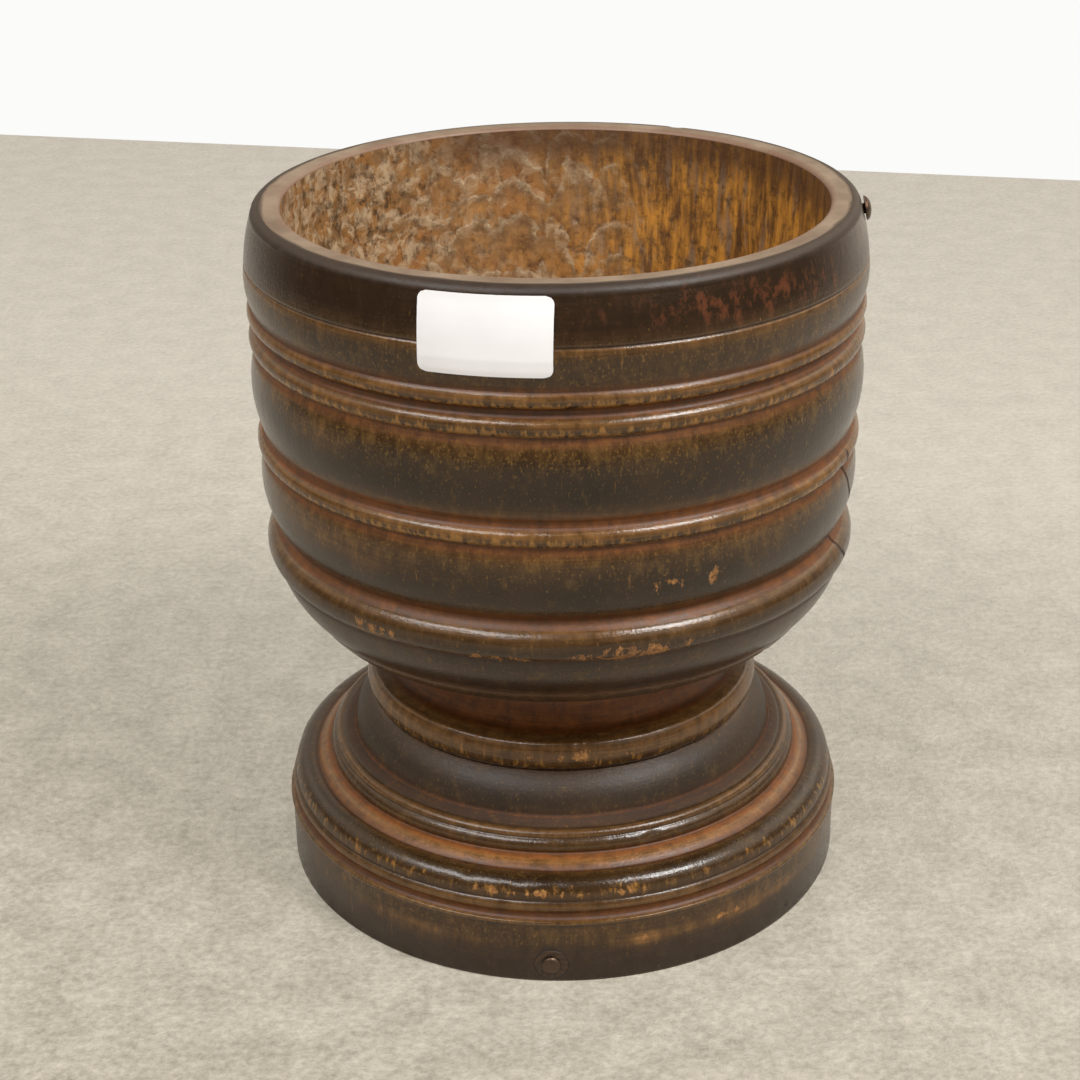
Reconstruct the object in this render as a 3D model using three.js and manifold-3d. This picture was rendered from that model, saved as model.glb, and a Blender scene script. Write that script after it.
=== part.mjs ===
// Footed wooden mortar for grinding and pounding, lathe-turned from one block of dense hardwood.
// Millimetres, +Z up. The origin is the centre of the foot's underside, and -Y is the front.

import * as THREE from 'three';
import { mergeVertices } from 'three/addons/utils/BufferGeometryUtils.js';
import Module from 'manifold-3d';

// Foot band: plain and upright, with a fine raised line along its top
const FOOT_RADIUS = 122.3;
const FOOT_EDGE_ROUND = 0.8;
const FOOT_BAND_HEIGHT = 27.2;
const FOOT_LINE_HEIGHT = 2.2;
const FOOT_LINE_PROUD = 0.7;

// Foot mouldings above the band: a hollow, a bead, then the wide torus at the edge of the foot's top
const FOOT_HOLLOW_HEIGHT = 3.2;
const FOOT_HOLLOW_DEPTH = 1.1;
const FOOT_BEAD_RADIUS = 120.6;
const FOOT_BEAD_HEIGHT = 4.8;
const FOOT_BEAD_PROUD = 1.1;
const FOOT_TORUS_RADIUS = 119.3;
const FOOT_TORUS_HEIGHT = 6.4;
const FOOT_TORUS_PROUD = 1.7;
const TORUS_TOP_RADIUS = 117.0;
const TORUS_TOP_RISE = 1.9;
const TORUS_TOP_CROWN = 0.7;

// Foot top, from the torus inwards: a wide flat ring, two round-edged steps and a fine line
const FLAT_RING_OUTER_RADIUS = 110.2;
const FLAT_RING_INNER_RADIUS = 103.1;
const FLAT_RING_RISE = 3.8;
const FLAT_RING_CROWN = 0.6;
const LOWER_STEP_RADIUS = 101.0;
const LOWER_STEP_RISE = 5.8;
const UPPER_STEP_RADIUS = 97.4;
const UPPER_STEP_RISE = 2.4;
const STEP_ROUND = 1.3;
const INNER_LINE_RADIUS = 92.8;
const INNER_LINE_RISE = 1.8;
const INNER_LINE_PROUD = 0.5;

// Dome from the foot's top up to the collar, and the collar round the neck
const DOME_TOP_RADIUS = 80.5;
const DOME_RISE = 17.0;
const DOME_CROWN = 3.2;
const COLLAR_RADIUS = 83.4;
const COLLAR_HEIGHT = 12.8;
const COLLAR_PROUD = 2.4;
const COLLAR_TOP_RISE = 1.6;

// Neck: a deep cove between the collar and the bowl's underside
const NECK_FOOT_RADIUS = 75.6;
const NECK_RADIUS = 69.5;
const NECK_WAIST_RISE = 11.0;
const NECK_HEIGHT = 27.4;

// Underside of the bowl: a lip, then the shoulder that rises to the lowest bead
const LIP_RADIUS = 100.4;
const LIP_RISE = 8.0;
const LIP_PROUD = 1.6;
const SHOULDER_RADIUS = 109.6;
const SHOULDER_RISE = 20.4;
const SHOULDER_PROUD = 2.0;

// Rings on the bowl's side, from the lowest up: the radius each starts at, its height and its bulge.
// A hollow runs in under each torus and under the fine bead.
const LOW_BEAD_RADIUS = 121.4;
const LOW_BEAD_HEIGHT = 12.8;
const LOW_BEAD_PROUD = 3.2;
const LOW_HOLLOW_RADIUS = 121.6;
const LOW_HOLLOW_HEIGHT = 3.6;
const LOW_HOLLOW_DEPTH = 0.5;
const LOW_TORUS_RADIUS = 118.8;
const LOW_TORUS_HEIGHT = 32.3;
const LOW_TORUS_PROUD = 3.9;
const MIDDLE_BEAD_RADIUS = 123.2;
const MIDDLE_BEAD_HEIGHT = 7.3;
const MIDDLE_BEAD_PROUD = 2.4;
const MIDDLE_HOLLOW_RADIUS = 123.6;
const MIDDLE_HOLLOW_HEIGHT = 3.6;
const MIDDLE_HOLLOW_DEPTH = 0.8;
const HIGH_TORUS_RADIUS = 123.2;
const HIGH_TORUS_HEIGHT = 33.2;
const HIGH_TORUS_PROUD = 3.0;
const WIDE_BEAD_RADIUS = 124.0;
const WIDE_BEAD_HEIGHT = 7.6;
const WIDE_BEAD_PROUD = 2.5;
const WIDE_HOLLOW_RADIUS = 123.8;
const WIDE_HOLLOW_HEIGHT = 3.6;
const WIDE_HOLLOW_DEPTH = 1.0;
const FINE_BEAD_RADIUS = 123.9;
const FINE_BEAD_HEIGHT = 6.8;
const FINE_BEAD_PROUD = 2.1;

// Rim band: barrel-shaped, up to the flat top of the rim
const BAND_FOOT_RADIUS = 124.8;
const BAND_BELLY_RADIUS = 126.4;
const BAND_BELLY_RISE = 16.9;
const BAND_LOWER_CROWN = 1.2;
const BAND_TOP_RADIUS = 122.8;
const BAND_TOP_RISE = 19.7;
const BAND_UPPER_CROWN = 0.5;
const RIM_OUTER_ROUND = 2.0;
const RIM_INNER_CHAMFER = 1.6;

// Hollow of the bowl: a wall that draws in a little, down to a round floor
const MOUTH_RADIUS = 110.2;
const WALL_FOOT_RADIUS = 104.0;
const BOWL_DEPTH = 150.0;
const BOWL_FLOOR_RISE = 46.0;

// Iron nail in the rim band: domed head and tapering square shank, shorter than the wall is thick
const RIM_NAIL_HEAD = 10.0;
const RIM_NAIL_DOME = 2.4;
const RIM_NAIL_SHANK = 3.6;
const RIM_NAIL_LENGTH = 9.0;
const RIM_NAIL_DROP = 6.8;
const RIM_NAIL_ANGLE = 87.0;

// Wooden plug in the foot band, with an iron nail through its middle into the block
const PLUG_DIAMETER = 13.6;
const PLUG_DEPTH = 18.0;
const PLUG_HEIGHT = 8.3;
const PLUG_ANGLE = -3.2;
const FOOT_NAIL_HEAD = 7.6;
const FOOT_NAIL_DOME = 1.8;
const FOOT_NAIL_SHANK = 3.2;
const FOOT_NAIL_LENGTH = 38.0;

// Both nails: how thin the tip is beside the shank, and how much of the head's rise is its upright edge
const NAIL_TIP_SHARE = 0.35;
const HEAD_EDGE_SHARE = 0.2;

// Paper label, wrapped on the rim band
const LABEL_WIDTH = 50.0;
const LABEL_HEIGHT = 29.2;
const LABEL_CORNER = 3.2;
const LABEL_THICKNESS = 0.3;
const LABEL_ANGLE = -12.5;
const LABEL_DROP = 17.8;

// Fits and facets
const CLEARANCE = 0.3;
const LATHE_SEGMENTS = 60;
const LINE_STEPS = 2;
const BEAD_STEPS = 3;
const WIDE_STEPS = 4;
const TORUS_STEPS = 5;
const COVE_STEPS = 5;
const FLOOR_STEPS = 7;
const PLUG_SEGMENTS = 28;
const HEAD_SEGMENTS = 20;
const HEAD_STEPS = 5;
const LABEL_CORNER_STEPS = 5;
const WELD_DISTANCE = 1e-5;

const wasm = await Module();
wasm.setup();

function toSolid(geometry) {
  const bare = geometry.clone();
  bare.deleteAttribute('normal');
  bare.deleteAttribute('uv');
  const merged = mergeVertices(bare, WELD_DISTANCE);
  return new wasm.Manifold(new wasm.Mesh({
    numProp: 3,
    vertProperties: new Float32Array(merged.attributes.position.array),
    triVerts: new Uint32Array(merged.index.array),
  }));
}

function toGeometry(solid) {
  const { vertProperties, triVerts } = solid.getMesh();
  const geometry = new THREE.BufferGeometry();
  geometry.setAttribute('position', new THREE.BufferAttribute(vertProperties, 3));
  geometry.setIndex(new THREE.BufferAttribute(triVerts, 1));
  geometry.computeVertexNormals();
  return geometry;
}

// A lathe outline, drawn as the turner cuts it: each move goes on from the last point
class Outline {
  constructor(radius, height) {
    this.points = [new THREE.Vector2(radius, height)];
  }

  get height() {
    return this.points.at(-1).y;
  }

  to(radius, height) {
    this.points.push(new THREE.Vector2(radius, height));
    return this;
  }

  // A circular arc that stands proud of its chord by the given amount, or hollow where that is negative
  arc(radius, height, proud, steps) {
    const start = this.points.at(-1).clone();
    const chord = new THREE.Vector2(radius, height).sub(start);
    const outward = new THREE.Vector2(chord.y, -chord.x).normalize();
    const half = chord.length() / 2;
    const arcRadius = (half * half + proud * proud) / (2 * Math.abs(proud));
    const sweep = 2 * Math.asin(half / arcRadius);
    for (let step = 1; step <= steps; step += 1) {
      const angle = sweep * (step / steps - 0.5);
      const along = 0.5 + arcRadius * Math.sin(angle) / (2 * half);
      const lift = Math.sign(proud) * arcRadius * (Math.cos(angle) - Math.cos(sweep / 2));
      this.points.push(start.clone().addScaledVector(chord, along).addScaledVector(outward, lift));
    }
    return this;
  }

  // A cove, drawn towards a corner that it doesn't reach
  cove(corner, end, steps) {
    const curve = new THREE.QuadraticBezierCurve(this.points.at(-1), corner, end);
    this.points.push(...curve.getPoints(steps).slice(1));
    return this;
  }
}

function lathe(points) {
  return toSolid(new THREE.LatheGeometry(points, LATHE_SEGMENTS).rotateX(Math.PI / 2));
}

// How far a quarter round stands proud of its chord
function quarterRound(radius) {
  return radius * (1 - Math.SQRT1_2);
}

function addFoot(outline) {
  outline.to(FOOT_RADIUS - FOOT_EDGE_ROUND, 0);
  outline.arc(FOOT_RADIUS, FOOT_EDGE_ROUND, quarterRound(FOOT_EDGE_ROUND), LINE_STEPS);
  outline.to(FOOT_RADIUS, FOOT_BAND_HEIGHT);
  outline.arc(FOOT_RADIUS, outline.height + FOOT_LINE_HEIGHT, FOOT_LINE_PROUD, LINE_STEPS);
  outline.arc(FOOT_BEAD_RADIUS, outline.height + FOOT_HOLLOW_HEIGHT, -FOOT_HOLLOW_DEPTH, LINE_STEPS);
  outline.arc(FOOT_TORUS_RADIUS, outline.height + FOOT_BEAD_HEIGHT, FOOT_BEAD_PROUD, BEAD_STEPS);
  outline.arc(TORUS_TOP_RADIUS, outline.height + FOOT_TORUS_HEIGHT, FOOT_TORUS_PROUD, BEAD_STEPS);
  outline.arc(FLAT_RING_OUTER_RADIUS, outline.height + TORUS_TOP_RISE, TORUS_TOP_CROWN, LINE_STEPS);
  outline.arc(FLAT_RING_INNER_RADIUS, outline.height + FLAT_RING_RISE, FLAT_RING_CROWN, LINE_STEPS);
  outline.arc(LOWER_STEP_RADIUS, outline.height + LOWER_STEP_RISE, STEP_ROUND, BEAD_STEPS);
  outline.arc(UPPER_STEP_RADIUS, outline.height + UPPER_STEP_RISE, STEP_ROUND, BEAD_STEPS);
  outline.to(INNER_LINE_RADIUS, outline.height + INNER_LINE_RISE);
  const innerLineEnd = INNER_LINE_RADIUS - 2 * INNER_LINE_PROUD;
  outline.arc(innerLineEnd, outline.height + INNER_LINE_PROUD, INNER_LINE_PROUD, LINE_STEPS);
}

function addNeck(outline) {
  outline.arc(DOME_TOP_RADIUS, outline.height + DOME_RISE, DOME_CROWN, WIDE_STEPS);
  outline.to(COLLAR_RADIUS, outline.height);
  outline.arc(COLLAR_RADIUS, outline.height + COLLAR_HEIGHT, COLLAR_PROUD, WIDE_STEPS);
  outline.to(NECK_FOOT_RADIUS, outline.height + COLLAR_TOP_RISE);
  const waist = outline.height + NECK_WAIST_RISE;
  const top = outline.height + NECK_HEIGHT;
  const lowerCorner = new THREE.Vector2(NECK_RADIUS, (outline.height + waist) / 2);
  outline.cove(lowerCorner, new THREE.Vector2(NECK_RADIUS, waist), BEAD_STEPS);
  outline.cove(new THREE.Vector2(NECK_RADIUS, top), new THREE.Vector2(LIP_RADIUS, top), COVE_STEPS);
}

function addBowlSide(outline) {
  outline.arc(SHOULDER_RADIUS, outline.height + LIP_RISE, LIP_PROUD, LINE_STEPS);
  outline.arc(LOW_BEAD_RADIUS, outline.height + SHOULDER_RISE, SHOULDER_PROUD, LINE_STEPS);
  outline.arc(LOW_HOLLOW_RADIUS, outline.height + LOW_BEAD_HEIGHT, LOW_BEAD_PROUD, WIDE_STEPS);
  outline.arc(LOW_TORUS_RADIUS, outline.height + LOW_HOLLOW_HEIGHT, -LOW_HOLLOW_DEPTH, LINE_STEPS);
  outline.arc(MIDDLE_BEAD_RADIUS, outline.height + LOW_TORUS_HEIGHT, LOW_TORUS_PROUD, TORUS_STEPS);
  outline.arc(MIDDLE_HOLLOW_RADIUS, outline.height + MIDDLE_BEAD_HEIGHT, MIDDLE_BEAD_PROUD, BEAD_STEPS);
  outline.arc(HIGH_TORUS_RADIUS, outline.height + MIDDLE_HOLLOW_HEIGHT, -MIDDLE_HOLLOW_DEPTH, LINE_STEPS);
  outline.arc(WIDE_BEAD_RADIUS, outline.height + HIGH_TORUS_HEIGHT, HIGH_TORUS_PROUD, TORUS_STEPS);
  outline.arc(WIDE_HOLLOW_RADIUS, outline.height + WIDE_BEAD_HEIGHT, WIDE_BEAD_PROUD, BEAD_STEPS);
  outline.arc(FINE_BEAD_RADIUS, outline.height + WIDE_HOLLOW_HEIGHT, -WIDE_HOLLOW_DEPTH, LINE_STEPS);
  outline.arc(BAND_FOOT_RADIUS, outline.height + FINE_BEAD_HEIGHT, FINE_BEAD_PROUD, BEAD_STEPS);
}

// The rim band alone, moved outwards by an offset
function bandOutline(offset) {
  const outline = new Outline(BAND_FOOT_RADIUS + offset, bandFoot);
  outline.arc(BAND_BELLY_RADIUS + offset, outline.height + BAND_BELLY_RISE, BAND_LOWER_CROWN, BEAD_STEPS);
  outline.arc(BAND_TOP_RADIUS + offset, outline.height + BAND_TOP_RISE, BAND_UPPER_CROWN, BEAD_STEPS);
  return outline;
}

// The rim's flat top, then the hollow, down to the middle of its floor
function addHollow(outline) {
  outline.arc(BAND_TOP_RADIUS - RIM_OUTER_ROUND, rimHeight, quarterRound(RIM_OUTER_ROUND), LINE_STEPS);
  outline.to(MOUTH_RADIUS + RIM_INNER_CHAMFER, rimHeight);
  outline.to(MOUTH_RADIUS, rimHeight - RIM_INNER_CHAMFER);
  for (let step = 0; step < FLOOR_STEPS; step += 1) {
    const angle = (Math.PI / 2) * (step / FLOOR_STEPS);
    const rise = BOWL_FLOOR_RISE * (1 - Math.sin(angle));
    outline.to(WALL_FOOT_RADIUS * Math.cos(angle), rimHeight - BOWL_DEPTH + rise);
  }
  outline.to(0, rimHeight - BOWL_DEPTH);
}

const body = new Outline(0, 0);
addFoot(body);
addNeck(body);
addBowlSide(body);
const bandFoot = body.height;
const rimHeight = bandFoot + BAND_BELLY_RISE + BAND_TOP_RISE + RIM_OUTER_ROUND;
body.points.push(...bandOutline(0).points.slice(1));
addHollow(body);

// Radius of the rim band's surface at a height, and how far that surface leans inwards there
function bandAt(height) {
  const { points } = bandOutline(0);
  const above = points.findIndex((point) => point.y > height);
  const [low, high] = [points[above - 1], points[above]];
  return {
    radius: THREE.MathUtils.mapLinear(height, low.y, high.y, low.x, high.x),
    lean: Math.atan2(low.x - high.x, high.y - low.y),
  };
}

// Puts a piece made on the Y axis, facing -Y with its seat at the origin, in its place round the turning
function place(solid, { lean = 0, radius, height, angle }) {
  const turn = new THREE.Matrix4().makeRotationZ(THREE.MathUtils.degToRad(angle));
  const out = new THREE.Matrix4().makeTranslation(0, -radius, height);
  const tip = new THREE.Matrix4().makeRotationX(-lean);
  return solid.transform(turn.multiply(out).multiply(tip).toArray());
}

// Square shank that tapers to its tip, along +Y, with a margin that turns it into its own hole
function shank(width, length, margin) {
  const corner = Math.SQRT1_2 * (width + 2 * margin);
  const tip = Math.SQRT1_2 * (width * NAIL_TIP_SHARE + 2 * margin);
  const geometry = new THREE.CylinderGeometry(tip, corner, length + 2 * margin, 4, 1);
  return toSolid(geometry.rotateY(Math.PI / 4).translate(0, length / 2, 0));
}

// Head of a nail: a low dome over the seat, along -Y
function domedHead(diameter, rise) {
  const outline = new Outline(0, 0);
  outline.to(diameter / 2, 0);
  for (let step = 0; step < HEAD_STEPS; step += 1) {
    const angle = (Math.PI / 2) * (step / HEAD_STEPS);
    const height = THREE.MathUtils.lerp(rise * HEAD_EDGE_SHARE, rise, Math.sin(angle));
    outline.to((diameter / 2) * Math.cos(angle), height);
  }
  outline.to(0, rise);
  return toSolid(new THREE.LatheGeometry(outline.points, HEAD_SEGMENTS).rotateX(Math.PI));
}

const rimNailHeight = rimHeight - RIM_NAIL_DROP;
const rimNailSeat = bandAt(rimNailHeight);
const rimNailPlace = {
  radius: rimNailSeat.radius + CLEARANCE,
  lean: rimNailSeat.lean,
  height: rimNailHeight,
  angle: RIM_NAIL_ANGLE,
};
const plugPlace = { radius: FOOT_RADIUS, height: PLUG_HEIGHT, angle: PLUG_ANGLE };
const footNailPlace = { ...plugPlace, radius: FOOT_RADIUS + CLEARANCE };

// Also reaches half its diameter out past the foot's face, so that the face can trim it
function plugCylinder(margin) {
  const radius = PLUG_DIAMETER / 2 + margin;
  const length = PLUG_DEPTH + margin;
  const geometry = new THREE.CylinderGeometry(radius, radius, length + radius, PLUG_SEGMENTS);
  return place(toSolid(geometry.translate(0, (length - radius) / 2, 0)), plugPlace);
}

function turnedBody() {
  return lathe(body.points)
    .subtract(plugCylinder(CLEARANCE))
    .subtract(place(shank(FOOT_NAIL_SHANK, FOOT_NAIL_LENGTH, CLEARANCE), footNailPlace))
    .subtract(place(shank(RIM_NAIL_SHANK, RIM_NAIL_LENGTH, CLEARANCE), rimNailPlace));
}

// Its face is turned flush with the foot band
function footPlug() {
  const face = new Outline(0, 0);
  face.to(FOOT_RADIUS, 0);
  face.to(FOOT_RADIUS, FOOT_BAND_HEIGHT);
  face.to(0, FOOT_BAND_HEIGHT);
  return plugCylinder(0)
    .intersect(lathe(face.points))
    .subtract(place(shank(FOOT_NAIL_SHANK, FOOT_NAIL_LENGTH, CLEARANCE), footNailPlace));
}

function footNail() {
  const nail = domedHead(FOOT_NAIL_HEAD, FOOT_NAIL_DOME).add(shank(FOOT_NAIL_SHANK, FOOT_NAIL_LENGTH, 0));
  return place(nail, footNailPlace);
}

function rimNail() {
  const nail = domedHead(RIM_NAIL_HEAD, RIM_NAIL_DOME).add(shank(RIM_NAIL_SHANK, RIM_NAIL_LENGTH, 0));
  return place(nail, rimNailPlace);
}

function roundedRectangle(width, height, corner) {
  const [x, y] = [width / 2, height / 2];
  const shape = new THREE.Shape();
  shape.absarc(x - corner, y - corner, corner, 0, Math.PI / 2);
  shape.absarc(corner - x, y - corner, corner, Math.PI / 2, Math.PI);
  shape.absarc(corner - x, corner - y, corner, Math.PI, Math.PI * 1.5);
  shape.absarc(x - corner, corner - y, corner, Math.PI * 1.5, Math.PI * 2);
  return shape;
}

// A skin that follows the rim band, cut to the label's outline
function paperLabel() {
  const under = bandOutline(CLEARANCE).points;
  const over = bandOutline(CLEARANCE + LABEL_THICKNESS).points;
  const skin = lathe([...over, ...under.reverse(), over[0]]);
  const height = rimHeight - LABEL_DROP;
  const { radius } = bandAt(height);
  const across = 2 * radius * Math.sin(LABEL_WIDTH / 2 / radius);
  const outline = roundedRectangle(across, LABEL_HEIGHT, LABEL_CORNER);
  const options = { depth: radius, bevelEnabled: false, curveSegments: LABEL_CORNER_STEPS };
  const punch = new THREE.ExtrudeGeometry(outline, options).rotateX(Math.PI / 2);
  return skin.intersect(place(toSolid(punch), { radius: radius / 2, height, angle: LABEL_ANGLE }));
}

function piece(name, solid, color, roughness, metalness) {
  const material = new THREE.MeshStandardMaterial({ color, roughness, metalness });
  const mesh = new THREE.Mesh(toGeometry(solid), material);
  mesh.name = name;
  return mesh;
}

const mortar = new THREE.Group();
mortar.add(piece('turned_body', turnedBody(), 0x4a2f1a, 0.35, 0));
mortar.add(piece('rim_nail', rimNail(), 0x35332f, 0.5, 0.8));
mortar.add(piece('foot_plug', footPlug(), 0x4f3219, 0.45, 0));
mortar.add(piece('foot_nail', footNail(), 0x35332f, 0.5, 0.8));
mortar.add(piece('paper_label', paperLabel(), 0xf0eff2, 0.6, 0));

export default mortar;
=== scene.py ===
"""A footed wooden mortar, turned from one block: the dressed model, in metres, in the CAD model's frame."""

import math

import bpy
import numpy as np
from mathutils import Matrix, Vector


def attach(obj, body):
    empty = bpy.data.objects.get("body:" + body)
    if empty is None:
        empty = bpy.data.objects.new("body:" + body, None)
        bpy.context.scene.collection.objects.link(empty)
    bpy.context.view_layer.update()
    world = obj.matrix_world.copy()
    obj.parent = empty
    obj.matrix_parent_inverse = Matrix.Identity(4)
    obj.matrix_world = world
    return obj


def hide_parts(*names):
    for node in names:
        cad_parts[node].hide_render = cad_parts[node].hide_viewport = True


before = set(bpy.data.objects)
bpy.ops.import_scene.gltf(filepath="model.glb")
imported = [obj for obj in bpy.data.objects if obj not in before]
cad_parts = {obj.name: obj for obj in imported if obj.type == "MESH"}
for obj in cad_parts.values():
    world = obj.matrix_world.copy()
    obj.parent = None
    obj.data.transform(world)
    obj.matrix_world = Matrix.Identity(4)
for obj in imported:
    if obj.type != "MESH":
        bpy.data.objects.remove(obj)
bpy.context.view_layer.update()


# ---- The turned block ----
# Bowl, neck and foot are one block of a dense brown hardwood, turned between centres with the grain upright.
# Wax, smoke and hands have made its skin almost black. Bare orange-brown wood shows in the hollows between
# the rings, and wherever a bead's lower edge has been knocked.
MM = 0.001
SEGMENTS = 320  # points round the axis
SPACING = 2.7  # mm between points along the outline, closer at the ends of each moulding
FOOT_RADIUS = 122.3  # mm, as are all the sizes of the object's pieces
HOLLOW_RADIUS = 104.0
WALL_FOOT = 192.6  # the height where the hollow's wall turns into its rounded floor
FLOOR_DROP = 46.0  # from there to the lowest point of the floor
FLOOR_STEPS = 24


class Outline:
    """The outline that the turner cuts, as (radius, height) in millimetres, from the foot upwards.

    Each arc also says how worn its surface is from its foot to its head: how far the wood shows bare, how
    densely dust and olive stain lie in the pores, and how densely the knocked grain shows in upright dashes.
    """

    def __init__(self, radius, height):
        self.points = [(radius, height)]
        self.wear = [(0.0, 0.0, 0.0)]

    @property
    def height(self):
        return self.points[-1][1]

    def arc(self, radius, rise, proud=0.0, bare=(0.1,), dusty=(0.2,), dashed=(0.0,), least=6):
        """An arc to a new radius, so much higher. It stands proud of its chord, or hollow if negative."""
        start = np.array(self.points[-1])
        chord = np.array((radius, start[1] + rise)) - start
        half = np.hypot(*chord) / 2
        count = max(least, round(2 * half / SPACING))
        along = (1 - np.cos(np.pi * np.arange(1, count + 1) / count)) / 2
        lift = np.zeros(count)
        if proud:
            arc_radius = (half**2 + proud**2) / (2 * abs(proud))
            off_centre = (2 * along - 1) * half
            lift = np.sign(proud) * (np.sqrt(arc_radius**2 - off_centre**2) - arc_radius + abs(proud))
        outward = np.array((chord[1], -chord[0])) / (2 * half)
        for share, out in zip(along, lift):
            self.points.append(tuple(start + chord * share + outward * out))
            self.wear.append([np.interp(share, np.linspace(0, 1, len(w)), w) if len(w) > 1 else w[0]
                              for w in (bare, dusty, dashed)])

    def cove(self, corner, end, count, bare):
        """A sweep towards a corner that it doesn't reach."""
        start, corner, end = np.array(self.points[-1]), np.array(corner), np.array(end)
        for t in np.arange(1, count + 1) / count:
            self.points.append(tuple((1 - t)**2 * start + 2 * t * (1 - t) * corner + t**2 * end))
            self.wear.append((np.interp(t, np.linspace(0, 1, len(bare)), bare), 0.1, 0.0))


cut = Outline(0, 0)
for radius in (20, 50, 80, 105, 117, 121.5):  # underside
    cut.points.append((radius, 0.0))
    cut.wear.append((0.1, 0.1, 0.0))
underside_end = len(cut.points) - 1
cut.arc(radius=FOOT_RADIUS, rise=0.8, proud=0.23, least=3)  # worn edge
cut.arc(radius=FOOT_RADIUS, rise=26.4,
        bare=(0.04, 0.05, 0.1, 0.16, 0.2), dusty=(0.05, 0.1, 0.25, 0.5, 0.5))  # foot band
cut.arc(radius=FOOT_RADIUS, rise=2.2, proud=0.7, least=5,
        bare=(0.35, 0.45, 0.3), dusty=(0.9,))  # its upper edge
cut.arc(radius=120.6, rise=3.2, proud=-1.1, bare=(0.5, 0.7, 0.7))  # hollow
cut.arc(radius=119.8, rise=4.8, proud=1.1, bare=(0.55, 0.45, 0.15), dusty=(0.2,))  # small bead
cut.arc(radius=110.2, rise=8.3, proud=3.8, least=12,
        bare=(0.2, 0.22, 0.1, 0.06, 0.06, 0.35), dashed=(0.2, 0.65, 0.3, 0, 0, 0))  # torus
cut.arc(radius=103.1, rise=3.8, proud=0.6, bare=(0.5, 0.75, 1.0, 0.8), dusty=(0.3,))  # wide flat ring
cut.arc(radius=101.0, rise=5.8, proud=1.3, bare=(0.3, 0.25, 0.15, 0.2))  # lower step
cut.arc(radius=97.4, rise=2.4, proud=1.3, bare=(0.35, 0.45, 0.25))  # upper step
cut.arc(radius=92.8, rise=1.8, bare=(0.12, 0.15))  # slope
cut.arc(radius=91.8, rise=0.5, proud=0.5, bare=(0.35,), least=4)  # fine line
cut.arc(radius=80.5, rise=17.0, proud=3.2, bare=(0.15, 0.02, 0.02, 0.05, 0.05, 0.3))  # dome
cut.arc(radius=83.4, rise=0.0, bare=(0.2,), least=2)  # under the collar
cut.arc(radius=83.4, rise=12.8, proud=2.4,
        bare=(0.2, 0.3, 0.5, 0.55, 0.5), dusty=(0.2,), dashed=(0.4, 0.6, 0.2, 0, 0))  # collar
cut.arc(radius=75.6, rise=1.6, bare=(0.3, 0.8), least=4)  # top of the collar
neck_foot = cut.height
cut.cove(corner=(69.5, neck_foot + 5.5), end=(69.5, neck_foot + 11.0), count=7,
         bare=(0.9, 0.9, 0.8))  # lower neck
cut.cove(corner=(69.5, neck_foot + 27.4), end=(100.4, neck_foot + 27.4), count=14,
         bare=(0.65, 0.35, 0.12, 0.1, 0.3))  # upper neck
cut.arc(radius=109.6, rise=8.0, proud=1.6, bare=(0.2, 0.05, 0.35), dusty=(0.0,))  # lip
cut.arc(radius=121.4, rise=20.4, proud=2.0,
        bare=(0.3, 0.05, 0.02, 0.06, 0.2, 0.06, 0.1), dusty=(0.0, 0.0, 0.3, 0.1))  # foot of the bowl
cut.arc(radius=121.6, rise=12.8, proud=3.2, least=9,
        bare=(0.3, 0.15, 0.1, 0.15, 0.25, 0.5))  # low bead
cut.arc(radius=118.8, rise=3.6, proud=-0.5, bare=(0.5, 0.6))  # hollow
cut.arc(radius=123.2, rise=32.3, proud=3.9, bare=(0.6, 0.12, 0.03, 0.03, 0.05, 0.1, 0.3, 0.75),
        dusty=(0.1, 0.1, 0.15, 0.5, 0.8))  # lower broad band
cut.arc(radius=123.6, rise=7.3, proud=2.4, least=8,
        bare=(0.2, 0.25, 0.45, 0.7, 0.65), dashed=(0.9, 1.0, 0.6, 0, 0))  # middle bead
cut.arc(radius=123.2, rise=3.6, proud=-0.8, bare=(0.8, 0.7))  # hollow
cut.arc(radius=124.0, rise=33.2, proud=3.0, bare=(0.55, 0.1, 0.02, 0.02, 0.03, 0.08, 0.25, 0.75),
        dusty=(0.1, 0.1, 0.2, 0.7, 0.8))  # upper broad band
cut.arc(radius=123.8, rise=7.6, proud=2.5, least=8,
        bare=(0.25, 0.3, 0.4, 0.6, 0.55), dashed=(1.0, 1.0, 0.5, 0, 0))  # wide bead
cut.arc(radius=123.9, rise=3.6, proud=-1.0, bare=(0.8, 0.7))  # hollow
cut.arc(radius=124.8, rise=6.8, proud=2.1, least=8,
        bare=(0.2, 0.2, 0.5, 0.7, 0.5), dashed=(1.0, 1.0, 0.4, 0, 0))  # fine bead
cut.arc(radius=126.4, rise=16.5, proud=1.2, bare=(0.35, 0.12, 0.1, 0.12, 0.5), dusty=(0.5,))  # rim band
cut.arc(radius=126.4, rise=0.8, proud=-0.35, bare=(0.3,), least=4)  # scribed line
cut.arc(radius=122.7, rise=17.4, proud=0.5,
        bare=(0.15, 0.05, 0.05, 0.05), dusty=(0.3, 0.15, 0.1))  # rim band above it
cut.arc(radius=118.5, rise=3.9, proud=1.2, bare=(0.05,), dusty=(0.1,), least=7)  # worn upper edge
rim_start = len(cut.points)
cut.arc(radius=112.2, rise=0.0)  # top of the rim
cut.arc(radius=110.2, rise=-1.6, proud=0.4, least=4)  # worn inner edge
rim_end = len(cut.points)
cut.arc(radius=HOLLOW_RADIUS, rise=WALL_FOOT - cut.height)  # wall of the hollow
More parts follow.
